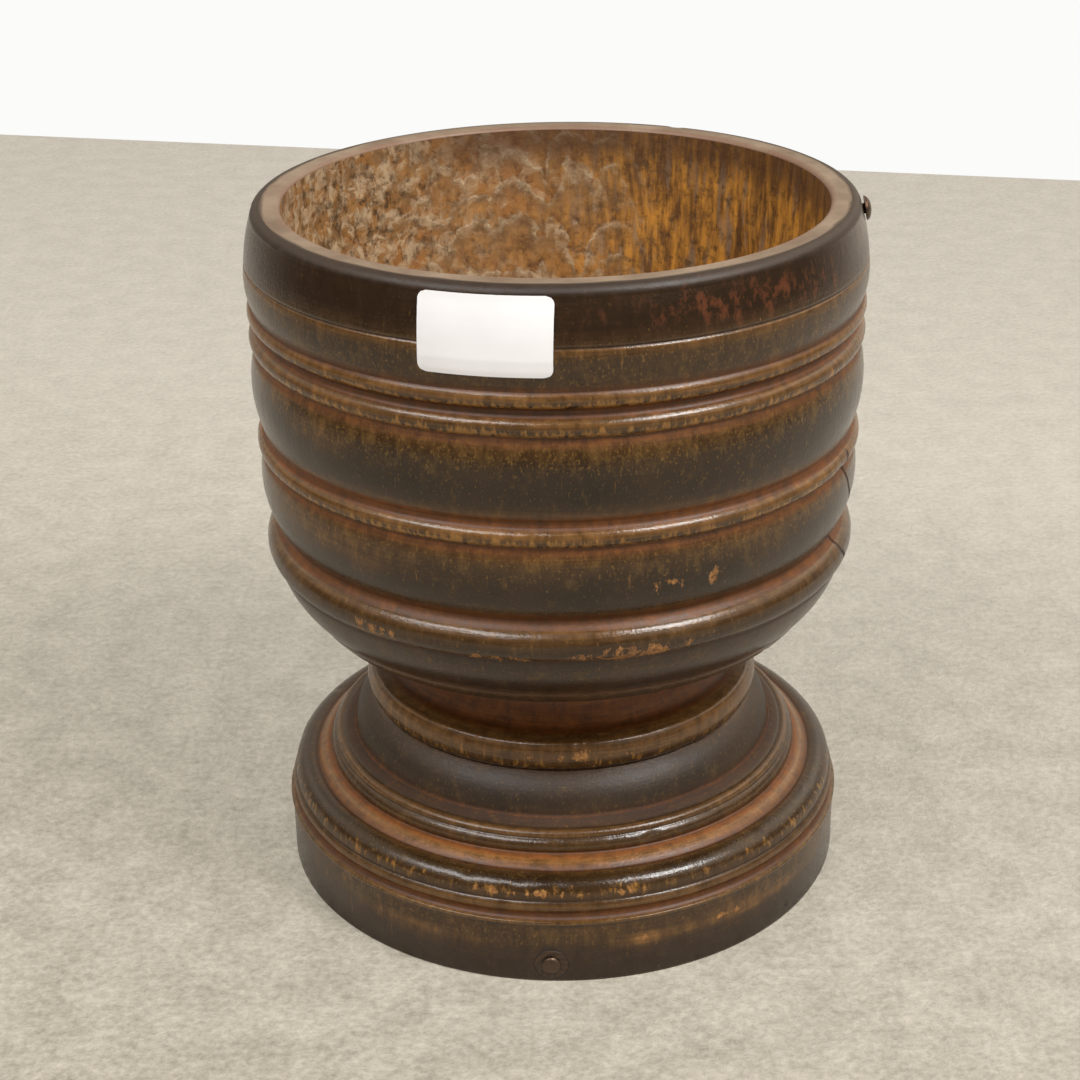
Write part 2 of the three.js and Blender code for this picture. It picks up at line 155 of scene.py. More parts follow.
for step in range(1, FLOOR_STEPS + 1):  # its rounded floor
    angle = math.pi / 2 * step / FLOOR_STEPS
    cut.points.append((HOLLOW_RADIUS * math.cos(angle), WALL_FOOT - FLOOR_DROP * math.sin(angle)))
    cut.wear.append((0.0, 0.0, 0.0))
cut.points[-1] = (0.0, WALL_FOOT - FLOOR_DROP)

outline = np.array(cut.points)
ahead = np.vstack([outline[1:], outline[-1:]])
behind = np.vstack([outline[:1], outline[:-1]])
tangent = (ahead - behind) / np.linalg.norm(ahead - behind, axis=1)[:, None]
normal = np.stack([tangent[:, 1], -tangent[:, 0]], axis=1)
travel = np.concatenate([[0], np.cumsum(np.linalg.norm(np.diff(outline, axis=0), axis=1))])


def hollowness(reach):
    """How far the outline lies below the middle of the points a reach to either side, in millimetres."""
    mean = np.zeros_like(outline)
    for side in (-reach, reach):
        for axis in (0, 1):
            mean[:, axis] += np.interp(travel + side, travel, outline[:, axis]) / 2
    return ((mean - outline) * normal).sum(axis=1)


def circle(sides):
    """The angles of so many points, evenly round a circle."""
    return np.arange(sides) / sides * 2 * math.pi


def ease(value, low, high):
    """0 below low, 1 above high, smooth between."""
    t = np.clip((np.asarray(value, float) - low) / (high - low), 0, 1)
    return t * t * (3 - 2 * t)


rings = outline[1:-1]
count = len(rings)
turn, level = np.meshgrid(circle(SEGMENTS), np.arange(count), indexing="ij")
radius, height = rings[level, 0], rings[level, 1]
out_r, out_z = normal[1:-1][level, 0], normal[1:-1][level, 1]
face_on = np.degrees(np.angle(np.exp(1j * turn)))  # 0 at the front, + to the right
up_to_rim = level < rim_start - 1
outside = (level >= underside_end) & up_to_rim
hollow = level >= rim_end


def around(angle, z, half_angle, half_height, part=up_to_rim):
    """1 at a spot on part of the block, fading to 0 over its half width in degrees and half height in mm."""
    off_angle = (face_on - angle + 180) % 360 - 180
    spread = (off_angle / half_angle)**2 + ((height - z) / half_height)**2
    return np.exp(-spread) * part


def strongest(spots):
    """The strongest at each point of spots given as angle, height, half angle, half height and strength."""
    return np.max([spot[4] * around(*spot[:4]) for spot in spots], axis=0)


# How worn each moulding is, and where the turning makes hollows, deep lines, crests and undersides of beads,
# sought at reaches of 1 to 5 mm
bare, dusty, dashed = (np.array(cut.wear)[1:-1, column][level] for column in range(3))
groove = ease(hollowness(4.5), 0.10, 0.75)[1:-1][level]
deep = ease(hollowness(1.2), 0.10, 0.40)[1:-1][level]
crest = ease(-hollowness(2.2), 0.10, 0.45)[1:-1][level]
under_bead = ease(-hollowness(3.0), 0.05, 0.4)[1:-1][level] * ease(-out_z, -0.15, 0.5)

# Wear that shows at one place: bare patches, rows of knocked chips and single ones, and rust-red patches
bare = np.maximum(bare, strongest((
    (-45, 187, 22, 9, 0.35), (-48, 231, 9, 7, 0.3), (-8, 98, 60, 6, 0.6), (5, 190, 60, 3, 0.3),
    (-30, 18, 18, 4, 0.45), (15, 18, 5, 3, 0.9), (38, 18.5, 20, 3.5, 0.65), (-38, 178, 5, 3, 0.3))))
chipped = strongest((
    (18, 178, 9, 3.5, 1.1), (28, 177, 2.6, 6.5, 1.5), (-38, 152, 10, 5, 1.3), (11, 150.5, 16, 5.0, 1.35),
    (-12, 149, 10, 3, 1.15), (-2, 84, 30, 4.5, 1.0), (0, 40.5, 40, 2.8, 1.05), (-51.2, 288.4, 1.0, 1.2, 1.0),
    (37, 277.2, 9, 1.6, 0.95), (-73, 31.3, 1.4, 1.4, 1.2), (57.3, 32.6, 1.4, 1.4, 1.2),
    (-22, 15.6, 6, 2.2, 1.1), (15, 17.5, 5, 3.0, 1.15), (33, 18.5, 18, 3.2, 1.0)))
rusty = strongest(((34, 284.5, 28, 8, 1.0), (22, 290, 5, 4, 1.0), (-37.6, 177.4, 4, 1.4, 1.0)))

# A drying crack runs down from the middle bead at the right, and another across the low bead below it. Each
# is a run of points, given as angle and height. What is 10 mm from it or more counts as far.
CRACK_RADIUS = 122  # the bowl's radius there, at which it is laid out flat
FAR = 10.0
crack_near = np.full(radius.shape, FAR)
crack_across = np.full(radius.shape, FAR)
for run in (((67, 200), (66.5, 195.5), (68.2, 190.4), (70, 183.6), (72.8, 176.5), (76, 168), (77, 164)),
            ((67.6, 163), (68, 160), (68.4, 157), (70, 153.3), (72, 148))):
    for (angle_a, z_a), (angle_b, z_b) in zip(run, run[1:]):
        a = np.array((math.radians(angle_a) * CRACK_RADIUS, z_a))
        step = np.array((math.radians(angle_b) * CRACK_RADIUS, z_b)) - a
        offset = np.stack([np.radians(face_on) * CRACK_RADIUS - a[0], height - a[1]], axis=-1)
        share = np.clip((offset @ step) / (step @ step), 0, 1)
        near = np.linalg.norm(offset - share[..., None] * step, axis=-1) + FAR * ~outside
        across = (offset[..., 0] * step[1] - offset[..., 1] * step[0]) / np.linalg.norm(step)
        crack_across = np.where(near < crack_near, across, crack_across)
        crack_near = np.minimum(crack_near, near)

# Use has left the turning slightly out of true, dented and nicked. Everything is worn inwards.
BOWL_RADIUS = 120  # where the width of a mark on the outside turns into an angle
SCOOP_RADIUS = 105  # the same in the hollow
wear_dice = np.random.default_rng(7)


def strewn(marks, heights, sizes, depths):
    """Marks all round at random: the angle of each in degrees, and its height, size and depth in mm."""
    ranges = ((-180, 180), heights, sizes, depths)
    return zip(*[wear_dice.uniform(low, high, marks) for low, high in ranges])


sunk = 0.16 + 0.10 * np.sin(2 * turn + 0.7) + 0.06 * np.sin(3 * turn + height / 60)
for angle, z, size, depth in strewn(90, heights=(5, 290), sizes=(2.5, 8), depths=(0.12, 0.5)):  # dents
    sunk += depth * around(angle, z, math.degrees(size / BOWL_RADIUS), size) * (0.3 + 0.7 * crest)
for angle, z, size, depth in strewn(260, heights=(5, 296), sizes=(1.0, 2.4), depths=(0.3, 0.9)):  # nicks
    bite = around(angle, z, math.degrees(size / BOWL_RADIUS), size) * np.maximum(crest, under_bead)
    sunk += depth * bite
    chipped = np.maximum(chipped, 0.7 * ease(bite, 0.3, 0.8))
sunk += 0.3 * ease(chipped, 0.6, 0.95) * (0.5 + 0.5 * np.sin(37 * turn + height))
# The hollow is pounded into shallow scoops
for angle, z, size, depth in strewn(160, heights=(150, 290), sizes=(4, 13), depths=(0.15, 0.7)):
    sunk += depth * around(angle, z, math.degrees(size / SCOOP_RADIUS), size, part=hollow)
sunk *= ease(radius, 2, 30) * (level > underside_end)  # the floor's middle and the underside stay true

r, z = radius - sunk * out_r, height - sunk * out_z
ring_points = np.stack([r * np.sin(turn), -r * np.cos(turn), z], axis=-1).reshape(-1, 3)
points = np.vstack([ring_points, (0, 0, 0), (0, 0, outline[-1, 1])]) * MM
number = np.arange(SEGMENTS * count).reshape(SEGMENTS, count)
across = np.roll(number, -1, axis=0)
quads = np.stack([number[:, :-1], across[:, :-1], across[:, 1:], number[:, 1:]], axis=-1).reshape(-1, 4)
foot_centre, floor_centre = SEGMENTS * count, SEGMENTS * count + 1
caps = [(foot_centre, int(b), int(a)) for a, b in zip(number[:, 0], across[:, 0])]
caps += [(floor_centre, int(a), int(b)) for a, b in zip(number[:, -1], across[:, -1])]

mesh = bpy.data.meshes.new("turned_block")
mesh.from_pydata(points.tolist(), [], quads.tolist() + caps)
# The turned attribute follows the surface: round the axis at the bowl's radius, and up along the outline
wide = BOWL_RADIUS * MM
turned = np.stack([wide * np.sin(turn), -wide * np.cos(turn), travel[1:-1][level] * MM], axis=-1)
turned = np.vstack([turned.reshape(-1, 3), np.zeros((2, 3))])
mesh.attributes.new("turned", "FLOAT_VECTOR", "POINT").data.foreach_set("vector", turned.ravel())
layers = {"bare": bare, "dusty": dusty, "dashed": dashed, "groove": groove, "deep": deep, "chipped": chipped,
          "rusty": rusty, "crack_near": crack_near, "crack_across": crack_across}
for name, values in layers.items():
    padded = np.append(np.clip(values, -FAR, FAR).ravel(), (0.0, 0.0))
    mesh.attributes.new(name, "FLOAT", "POINT").data.foreach_set("value", padded)
WAXED, RUBBED, SCRUBBED, SCUFFED = range(4)  # the order in which the block gets its materials
quad_level = np.tile(np.arange(count - 1), SEGMENTS)
zone = np.select([quad_level < underside_end - 1, quad_level < rim_start - 2, quad_level < rim_end - 2],
                 [SCUFFED, WAXED, RUBBED], SCRUBBED)
zone = np.concatenate([zone, np.full(SEGMENTS, SCUFFED), np.full(SEGMENTS, SCRUBBED)])
mesh.polygons.foreach_set("material_index", zone.astype(np.int32))
mesh.polygons.foreach_set("use_smooth", np.ones(len(mesh.polygons), bool))
mesh.update()


def new_object(name, data):
    """An object in the scene, at the origin."""
    made = bpy.data.objects.new(name, data)
    bpy.context.scene.collection.objects.link(made)
    return made


block = new_object("turned_block", mesh)


def linear(code):
    """An sRGB hex colour as the linear RGBA that a shader takes."""
    parts = [int(code[i:i + 2], 16) / 255 for i in (1, 3, 5)]
    return (*[c / 12.92 if c <= 0.04045 else ((c + 0.055) / 1.055)**2.4 for c in parts], 1.0)


def add(tree, kind, links={}, **settings):
    """Adds a node with its settings.

    links gives its inputs: each a value, another node's output, or a node, for its first output in use.
    """
    made = tree.nodes.new("ShaderNode" + kind)
    for name, value in settings.items():
        setattr(made, name, value)
    for name, value in links.items():
        if isinstance(value, bpy.types.Node):
            value = next(output for output in value.outputs if output.enabled)
        if isinstance(value, bpy.types.NodeSocket):
            tree.links.new(value, made.inputs[name])
        else:
            made.inputs[name].default_value = value
    return made


def emptied(owner):
    """The node tree of a material or a world, with nothing in it yet."""
    owner.use_nodes = True
    owner.node_tree.nodes.clear()
    return owner.node_tree


# Waxed hardwood, turned and hand-polished: a deep gloss over a skin of wax and smoke that is almost black.
# Pale dust lies in pores 1 mm across, and an olive stain in a mottle of 5 mm. The grain shows 2.4 mm wide and
# ten times as long, and the gouge has left faint rings 1 mm apart.
waxed = bpy.data.materials.new("waxed_hardwood")
tree = emptied(waxed)
where = add(tree, "TexCoord").outputs["Object"]
oval = add(tree, "VectorMath", {0: where, 1: (1, 1, 0.6)}, operation="MULTIPLY")
upright = add(tree, "VectorMath", {0: where, 1: (1, 1, 0.55)}, operation="MULTIPLY")
drawn = add(tree, "VectorMath", {0: where, 1: (1, 1, 0.10)}, operation="MULTIPLY")
follow = add(tree, "Attribute", attribute_name="turned").outputs["Vector"]
ringed = add(tree, "VectorMath", {0: follow, 1: (0.035, 0.035, 1)}, operation="MULTIPLY")
is_bare, is_dusty, is_dashed, is_groove, is_deep, is_chipped, is_rusty, to_crack, off_crack = (
    add(tree, "Attribute", attribute_name=name).outputs["Fac"] for name in layers)
clouds = add(tree, "TexNoise", {"Vector": where, "Scale": 24, "Detail": 5, "Roughness": 0.6})
mottle = add(tree, "TexNoise", {"Vector": upright, "Scale": 190, "Detail": 6, "Roughness": 0.7})
pores = add(tree, "TexNoise", {"Vector": oval, "Scale": 1000, "Detail": 2, "Roughness": 0.6})
figure = add(tree, "TexNoise", {"Vector": drawn, "Scale": 420, "Detail": 4, "Roughness": 0.65})
gouge = add(tree, "TexNoise", {"Vector": ringed, "Scale": 1100, "Detail": 2, "Roughness": 0.5})
flakes = add(tree, "TexNoise", {"Vector": upright, "Scale": 180, "Detail": 6, "Roughness": 0.7})

# The skin: near black, and redder above the scribed line and low on the foot band, with ragged edges
up_by = add(tree, "SeparateXYZ", {0: where}).outputs[2]
ragged = add(tree, "Math", {0: mottle, 1: 0.014, 2: up_by}, operation="MULTIPLY_ADD")
low_dark = add(tree, "MapRange", {0: ragged, 1: 0.0216, 2: 0.0250, 3: 1, 4: 0})
high_dark = add(tree, "MapRange", {0: ragged, 1: 0.2815, 2: 0.2875})
blackened = add(tree, "Math", {0: low_dark, 1: high_dark}, operation="MAXIMUM")
shade = add(tree, "MapRange", {0: clouds, 1: 0.36, 2: 0.64})
skin = add(tree, "Mix", {0: shade, 6: linear("#1a1006"), 7: linear("#2c1d0c")}, data_type="RGBA")
stained = add(tree, "Math", {0: is_dusty, 1: 0.19, 2: mottle}, operation="MULTIPLY_ADD")
stained = add(tree, "MapRange", {0: stained, 1: 0.60, 2: 0.78, 3: 0, 4: 0.75})
skin = add(tree, "Mix", {0: stained, 6: skin, 7: linear("#4f3b19")}, data_type="RGBA")
black_share = add(tree, "Math", {0: blackened, 1: 0.85}, operation="MULTIPLY")
skin = add(tree, "Mix", {0: black_share, 6: skin, 7: linear("#21150d")}, data_type="RGBA")
dust = add(tree, "Math", {0: is_dusty, 1: 0.12, 2: pores}, operation="MULTIPLY_ADD")
dust = add(tree, "Math", {0: blackened, 1: -0.06, 2: dust}, operation="MULTIPLY_ADD")
dust = add(tree, "MapRange", {0: dust, 1: 0.64, 2: 0.76, 3: 0, 4: 0.5})
skin = add(tree, "Mix", {0: dust, 6: skin, 7: linear("#7c5c2a")}, data_type="RGBA")

# Bare wood: tan on the crests and orange-brown in the grooves
tan = add(tree, "Mix", {0: figure, 6: linear("#5f3c1b"), 7: linear("#976b3b")}, data_type="RGBA")
orange = add(tree, "Mix", {0: figure, 6: linear("#592c06"), 7: linear("#92520d")}, data_type="RGBA")
wood = add(tree, "Mix", {0: is_groove, 6: tan, 7: orange}, data_type="RGBA")
patchy = add(tree, "MapRange", {0: mottle, 1: 0.32, 2: 0.64, 3: 0.5, 4: 1.3})
streaky = add(tree, "MapRange", {0: gouge, 1: 0.35, 2: 0.65, 3: 0.75, 4: 1.2})
patchy = add(tree, "Math", {0: patchy, 1: streaky}, operation="MULTIPLY")
worn = add(tree, "Math", {0: is_bare, 1: patchy}, operation="MULTIPLY")
kept = add(tree, "Math", {0: is_dashed, 1: -0.35, 2: 1.0}, operation="MULTIPLY_ADD")
worn = add(tree, "Math", {0: worn, 1: kept}, operation="MULTIPLY", use_clamp=True)
colour = add(tree, "Mix", {0: worn, 6: skin, 7: wood}, data_type="RGBA")

# Knocked grain under the beads, in dashes 2 mm apart, and chips 3 to 8 mm wide
dashes = add(tree, "Math", {0: is_dashed, 1: 0.28, 2: figure}, operation="MULTIPLY_ADD")
dashes = add(tree, "MapRange", {0: dashes, 1: 0.68, 2: 0.80, 3: 0, 4: 0.75})
colour = add(tree, "Mix", {0: dashes, 6: colour, 7: linear("#96692f")}, data_type="RGBA")
limit = add(tree, "MapRange", {0: is_chipped, 1: 0.0, 2: 1.0, 3: 0.82, 4: 0.48})
chip = add(tree, "Math", {0: flakes, 1: limit}, operation="SUBTRACT")
chip = add(tree, "MapRange", {0: chip, 1: 0.0, 2: 0.07})
chip_tone = add(tree, "MapRange", {0: pores, 1: 0.35, 2: 0.65})
chip_wood = add(tree, "Mix", {0: chip_tone, 6: linear("#6b421c"), 7: linear("#b07c42")}, data_type="RGBA")
chip_share = add(tree, "Math", {0: chip, 1: 0.9}, operation="MULTIPLY")
colour = add(tree, "Mix", {0: chip_share, 6: colour, 7: chip_wood}, data_type="RGBA")

# Rust-red patches, painted shade in the deepest lines, and the drying crack, about 2 mm wide and uneven
rust = add(tree, "Math", {0: is_rusty, 1: 0.12, 2: mottle}, operation="MULTIPLY_ADD")
rust = add(tree, "MapRange", {0: rust, 1: 0.58, 2: 0.68, 3: 0, 4: 0.6})
rust = add(tree, "Math", {0: rust, 1: is_rusty}, operation="MULTIPLY", use_clamp=True)
colour = add(tree, "Mix", {0: rust, 6: colour, 7: linear("#6e3b22")}, data_type="RGBA")
# Painted shade: the bottom of each deepest line is darkened towards near black
deep_line_shade = add(tree, "Math", {0: is_deep, 1: 0.45}, operation="MULTIPLY")
colour = add(tree, "Mix", {0: deep_line_shade, 6: colour, 7: linear("#1f0f05")}, data_type="RGBA")
split = add(tree, "Math", {0: mottle, 1: 1.6, 2: off_crack}, operation="MULTIPLY_ADD")
split = add(tree, "Math", {0: split, 1: -0.8}, operation="ADD")
split = add(tree, "Math", {0: split}, operation="ABSOLUTE")
split = add(tree, "MapRange", {0: split, 1: 0.6, 2: 1.25, 3: 0.85, 4: 0})
split_here = add(tree, "MapRange", {0: to_crack, 1: 2.0, 2: 3.2, 3: 1, 4: 0})
split = add(tree, "Math", {0: split, 1: split_here}, operation="MULTIPLY")
colour = add(tree, "Mix", {0: split, 6: colour, 7: linear("#24150c")}, data_type="RGBA")

# Polished by hands, but dull on chips, in the hollows and the crack, on the dome and at the rim's edge
gloss = add(tree, "MapRange", {0: mottle, 1: 0.3, 2: 0.7, 3: 0.16, 4: 0.27})
matt = add(tree, "Math", {0: chip, 1: 0.3, 2: gloss}, operation="MULTIPLY_ADD")
matt = add(tree, "Math", {0: is_groove, 1: 0.28, 2: matt}, operation="MULTIPLY_ADD")
above_steps = add(tree, "MapRange", {0: up_by, 1: 0.056, 2: 0.060})
below_collar = add(tree, "MapRange", {0: up_by, 1: 0.0745, 2: 0.0765, 3: 0.3, 4: 0})
matt = add(tree, "Math", {0: above_steps, 1: below_collar, 2: matt}, operation="MULTIPLY_ADD")
rim_edge = add(tree, "MapRange", {0: up_by, 1: 0.2925, 2: 0.2945, 3: 0, 4: 0.3})
matt = add(tree, "Math", {0: rim_edge, 1: matt}, operation="ADD")
matt = add(tree, "Math", {0: split, 1: 0.6, 2: matt}, operation="MULTIPLY_ADD", use_clamp=True)
relief = add(tree, "Math", {0: gouge, 1: 0.4, 2: pores}, operation="MULTIPLY_ADD")
relief = add(tree, "Math", {0: mottle, 1: 1.2, 2: relief}, operation="MULTIPLY_ADD")
relief = add(tree, "Math", {0: chip, 1: -0.8, 2: relief}, operation="MULTIPLY_ADD")
relief = add(tree, "Math", {0: split, 1: -2.0, 2: relief}, operation="MULTIPLY_ADD")
bump = add(tree, "Bump", {"Height": relief, "Strength": 0.22, "Distance": 0.0005})
shader = add(tree, "BsdfPrincipled", {"Base Color": colour, "Roughness": matt, "Normal": bump, "IOR": 1.5,
                                      "Specular IOR Level": 0.5})
add(tree, "OutputMaterial", {"Surface": shader})

# Rim top: the same wood, rubbed pale and dry by the pestle and by hands. Taupe and matt, clouded over 30 mm,
# with specks under 2 mm, pinker at its inner edge and dark at its outer one.
rubbed = bpy.data.materials.new("rubbed_end_grain")
tree = emptied(rubbed)
where = add(tree, "TexCoord").outputs["Object"]
clouds = add(tree, "TexNoise", {"Vector": where, "Scale": 34, "Detail": 5, "Roughness": 0.6})
specks = add(tree, "TexNoise", {"Vector": where, "Scale": 600, "Detail": 4, "Roughness": 0.6})
flat_way = add(tree, "VectorMath", {0: where, 1: (1, 1, 0)}, operation="MULTIPLY")
from_axis = add(tree, "VectorMath", {0: flat_way}, operation="LENGTH").outputs["Value"]
from_axis = add(tree, "Math", {0: clouds, 1: 0.006, 2: from_axis}, operation="MULTIPLY_ADD")
shade = add(tree, "MapRange", {0: clouds, 1: 0.38, 2: 0.62})
colour = add(tree, "Mix", {0: shade, 6: linear("#6b5743"), 7: linear("#89745e")}, data_type="RGBA")
inner = add(tree, "MapRange", {0: from_axis, 1: 0.1130, 2: 0.1165, 3: 0.8, 4: 0})
colour = add(tree, "Mix", {0: inner, 6: colour, 7: linear("#7f5d49")}, data_type="RGBA")
outer = add(tree, "MapRange", {0: from_axis, 1: 0.1203, 2: 0.1216, 3: 0, 4: 0.9})
colour = add(tree, "Mix", {0: outer, 6: colour, 7: linear("#3a2a1c")}, data_type="RGBA")
speck = add(tree, "MapRange", {0: specks, 1: 0.55, 2: 0.75, 3: 0, 4: 0.35})
colour = add(tree, "Mix", {0: speck, 6: colour, 7: linear("#5b4534")}, data_type="RGBA")
bump = add(tree, "Bump", {"Height": specks, "Strength": 0.4, "Distance": 0.0002})
shader = add(tree, "BsdfPrincipled", {"Base Color": colour, "Roughness": 0.5, "Normal": bump, "IOR": 1.5})
add(tree, "OutputMaterial", {"Surface": shader})

# Hollow: dry wood, scrubbed and pounded. Old meal has dried on it in cream crumbs 2 to 6 mm across on the
# left, and behind in scallops 20 mm wide. On the right the upright grain shows in golden, dark and grey
# streaks, 4 to 6 mm wide.
scrubbed = bpy.data.materials.new("scrubbed_hollow")
tree = emptied(scrubbed)
where = add(tree, "TexCoord").outputs["Object"]
along_x, _, along_z = add(tree, "SeparateXYZ", {0: where}).outputs
clouds = add(tree, "TexNoise", {"Vector": where, "Scale": 30, "Detail": 4, "Roughness": 0.6})
mottle = add(tree, "TexNoise", {"Vector": where, "Scale": 190, "Detail": 6, "Roughness": 0.7})
lumps = add(tree, "TexNoise", {"Vector": where, "Scale": 145, "Detail": 5, "Roughness": 0.65,
                               "Distortion": 0.6})
upright = add(tree, "VectorMath", {0: where, 1: (1, 1, 0.18)}, operation="MULTIPLY")
streaks = add(tree, "TexNoise", {"Vector": upright, "Scale": 230, "Detail": 5, "Roughness": 0.65})
broad_streaks = add(tree, "TexNoise", {"Vector": upright, "Scale": 165, "Detail": 3, "Roughness": 0.6})
to_right = add(tree, "MapRange", {0: along_x, 1: -0.010, 2: 0.045})
to_left = add(tree, "MapRange", {0: along_x, 1: -0.080, 2: -0.015, 3: 1, 4: 0})
brown = add(tree, "MapRange", {0: mottle, 1: 0.35, 2: 0.65})
brown = add(tree, "Mix", {0: brown, 6: linear("#5f3d1d"), 7: linear("#a47642")}, data_type="RGBA")
warm = add(tree, "MapRange", {0: clouds, 1: 0.46, 2: 0.64, 3: 0, 4: 0.6})
brown = add(tree, "Mix", {0: warm, 6: brown, 7: linear("#985f28")}, data_type="RGBA")
gold = add(tree, "MapRange", {0: streaks, 1: 0.40, 2: 0.62})
gold = add(tree, "Mix", {0: gold, 6: linear("#5f3b11"), 7: linear("#c2842c")}, data_type="RGBA")
grey = add(tree, "MapRange", {0: broad_streaks, 1: 0.55, 2: 0.64, 3: 0, 4: 0.7})
gold = add(tree, "Mix", {0: grey, 6: gold, 7: linear("#846c55")}, data_type="RGBA")
pitted = add(tree, "MapRange", {0: mottle, 1: 0.36, 2: 0.50, 3: 0.7, 4: 0})
gold = add(tree, "Mix", {0: pitted, 6: gold, 7: linear("#3a230c")}, data_type="RGBA")
gold_share = add(tree, "MapRange", {0: to_right, 1: 0, 2: 1, 3: 0.15, 4: 0.95})
colour = add(tree, "Mix", {0: gold_share, 6: brown, 7: gold}, data_type="RGBA")

# Scallops: tide lines 19 mm apart, arched over each cell, crisp above and fading to grey-brown below
jitter = add(tree, "TexNoise", {"Vector": where, "Scale": 150, "Detail": 3,
                                "Roughness": 0.6}).outputs["Color"]
jitter = add(tree, "VectorMath", {0: jitter, 1: (0.5, 0.5, 0.5)}, operation="SUBTRACT")
warped = add(tree, "VectorMath", {0: jitter, 1: (0.009, 0.009, 0.009), 2: where}, operation="MULTIPLY_ADD")
tall = add(tree, "VectorMath", {0: warped, 1: (1, 1, 0.4)}, operation="MULTIPLY")
cell = add(tree, "TexVoronoi", {"Vector": tall, "Scale": 50}).outputs["Distance"]
arch = add(tree, "Math", {0: cell, 1: cell}, operation="MULTIPLY")
tide = add(tree, "Math", {0: arch, 1: 0.040, 2: along_z}, operation="MULTIPLY_ADD")
tide = add(tree, "Math", {0: clouds, 1: 0.045, 2: tide}, operation="MULTIPLY_ADD")
tide = add(tree, "Math", {0: tide, 1: 0.019}, operation="DIVIDE")
tide = add(tree, "Math", {0: tide}, operation="FRACT")
edge = add(tree, "MapRange", {0: tide, 1: 0.62, 2: 0.84})
edge_end = add(tree, "MapRange", {0: tide, 1: 0.88, 2: 1.0, 3: 1, 4: 0})
edge = add(tree, "Math", {0: edge, 1: edge_end}, operation="MULTIPLY")
body = add(tree, "MapRange", {0: tide, 1: 0.25, 2: 0.75})
body = add(tree, "Math", {0: body, 1: edge_end}, operation="MULTIPLY")
fans_here = add(tree, "MapRange", {0: along_x, 1: 0.015, 2: 0.050, 3: 1, 4: 0})
crusty = add(tree, "MapRange", {0: lumps, 1: 0.40, 2: 0.60})
crusty = add(tree, "Math", {0: crusty, 1: fans_here}, operation="MULTIPLY")
shaded = add(tree, "Math", {0: body, 1: fans_here}, operation="MULTIPLY")
shaded = add(tree, "Math", {0: shaded, 1: 0.55}, operation="MULTIPLY")
colour = add(tree, "Mix", {0: shaded, 6: colour, 7: linear("#745a3c")}, data_type="RGBA")
crust = add(tree, "Math", {0: edge, 1: crusty}, operation="MULTIPLY")

# Crumbs: cream lumps with dark olive pits between them, dense on the left and scattered in patches elsewhere
crumbs = add(tree, "MapRange", {0: lumps, 1: 0.47, 2: 0.60})
patches = add(tree, "MapRange", {0: clouds, 1: 0.50, 2: 0.60, 3: 0, 4: 0.5})
patches = add(tree, "Math", {0: patches, 1: fans_here}, operation="MULTIPLY")
crumbs_here = add(tree, "Math", {0: to_left, 1: patches}, operation="MAXIMUM")
crumbs = add(tree, "Math", {0: crumbs, 1: crumbs_here}, operation="MULTIPLY")
pits = add(tree, "MapRange", {0: mottle, 1: 0.36, 2: 0.48, 3: 0.75, 4: 0})
pits = add(tree, "Math", {0: pits, 1: crumbs_here}, operation="MULTIPLY")
crust = add(tree, "Math", {0: crust, 1: crumbs}, operation="MAXIMUM")
crust_share = add(tree, "Math", {0: crust, 1: 0.8}, operation="MULTIPLY")
cream = add(tree, "Mix", {0: mottle, 6: linear("#957b55"), 7: linear("#ddc4a1")}, data_type="RGBA")
colour = add(tree, "Mix", {0: crust_share, 6: colour, 7: cream}, data_type="RGBA")
colour = add(tree, "Mix", {0: pits, 6: colour, 7: linear("#3c2d17")}, data_type="RGBA")
# Painted shade: the hollow darkens to brown from 276 mm up to the rim, as under the rim's lip, less on the
# left
rim_shade_share = add(tree, "MapRange", {0: along_z, 1: 0.276, 2: 0.288, 3: 0, 4: 0.75})
not_left = add(tree, "MapRange", {0: along_x, 1: -0.072, 2: -0.035, 3: 0.15, 4: 1})
rim_shade_share = add(tree, "Math", {0: rim_shade_share, 1: not_left}, operation="MULTIPLY")
colour = add(tree, "Mix", {0: rim_shade_share, 6: colour, 7: linear("#47290c")}, data_type="RGBA")
relief = add(tree, "Math", {0: crust, 1: 0.25, 2: mottle}, operation="MULTIPLY_ADD")
relief = add(tree, "Math", {0: streaks, 1: 0.6, 2: relief}, operation="MULTIPLY_ADD")
bump = add(tree, "Bump", {"Height": relief, "Strength": 0.6, "Distance": 0.0008})
shader = add(tree, "BsdfPrincipled", {"Base Color": colour, "Roughness": 0.6, "Normal": bump, "IOR": 1.5})
add(tree, "OutputMaterial", {"Surface": shader})

# Underside: end grain, unwaxed and scuffed pale by the floor, with growth rings 5 mm apart.
scuffed = bpy.data.materials.new("scuffed_end_grain")
tree = emptied(scuffed)
where = add(tree, "TexCoord").outputs["Object"]
growth = add(tree, "TexWave", {"Vector": where, "Scale": 60, "Distortion": 3, "Detail": 3}, wave_type="RINGS",
             rings_direction="Z").outputs["Fac"]
specks = add(tree, "TexNoise", {"Vector": where, "Scale": 300, "Detail": 4, "Roughness": 0.6})
colour = add(tree, "Mix", {0: growth, 6: linear("#4a3220"), 7: linear("#6e5034")}, data_type="RGBA")
colour = add(tree, "Mix", {0: specks, 6: colour, 7: linear("#3a2819")}, data_type="RGBA")
bump = add(tree, "Bump", {"Height": specks, "Strength": 0.5, "Distance": 0.0005})
shader = add(tree, "BsdfPrincipled", {"Base Color": colour, "Roughness": 0.7, "Normal": bump, "IOR": 1.5})
add(tree, "OutputMaterial", {"Surface": shader})

for finish in (waxed, rubbed, scrubbed, scuffed):
    mesh.materials.append(finish)


def seat(angle, out, z):
    """The matrix that puts a piece made on the Y axis, facing -Y, at an angle round the block, in metres."""
    return Matrix.Rotation(math.radians(angle), 4, "Z") @ Matrix.Translation((0, -out * MM, z * MM))


